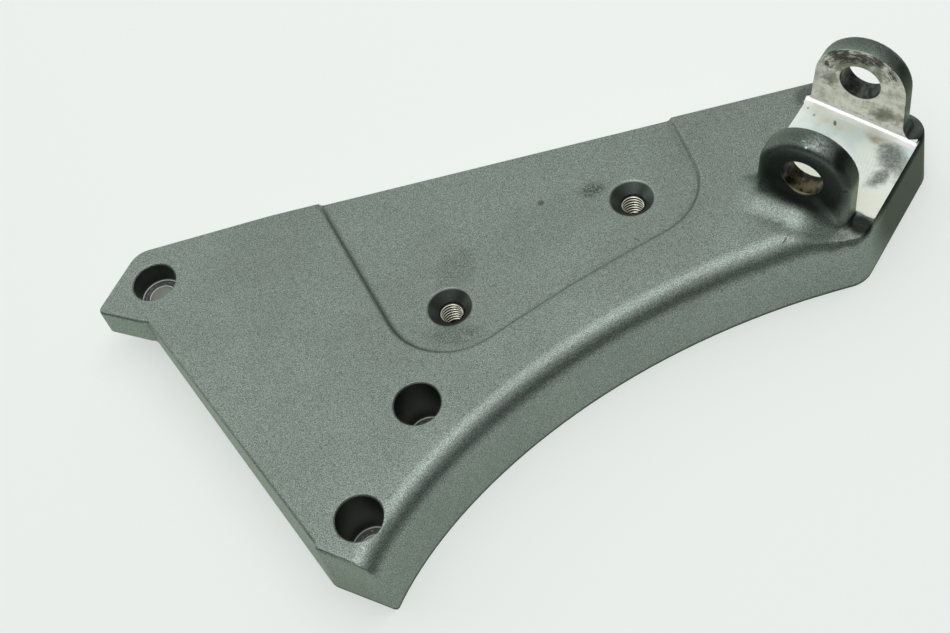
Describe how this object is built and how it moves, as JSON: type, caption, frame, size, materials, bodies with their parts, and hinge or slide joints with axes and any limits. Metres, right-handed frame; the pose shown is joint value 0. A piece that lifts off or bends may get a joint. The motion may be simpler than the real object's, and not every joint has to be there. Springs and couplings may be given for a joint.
{
  "type": "motorcycle footrest hanger",
  "caption": "Triangular cast bracket with a curved folded skirt, deep screw sockets and a recessed panel. Upright ears at its far end hold a folding footrest.",
  "frame": {"origin": "middle of the bounding box, on the plane of the casting's back", "axes": "+X along the straight top edge towards the ears, +Y from the skirt towards the top edge, +Z out of the back towards the face and ears"},
  "size_m": [0.2676, 0.1356, 0.0515],
  "materials": {
    "coated_casting": "satin dark grey metallic coat on cast aluminium, bare where the slot and bores are machined"
  },
  "bodies": {
    "root": {"footrest_hanger": "coated_casting"}
  },
  "joints": []
}
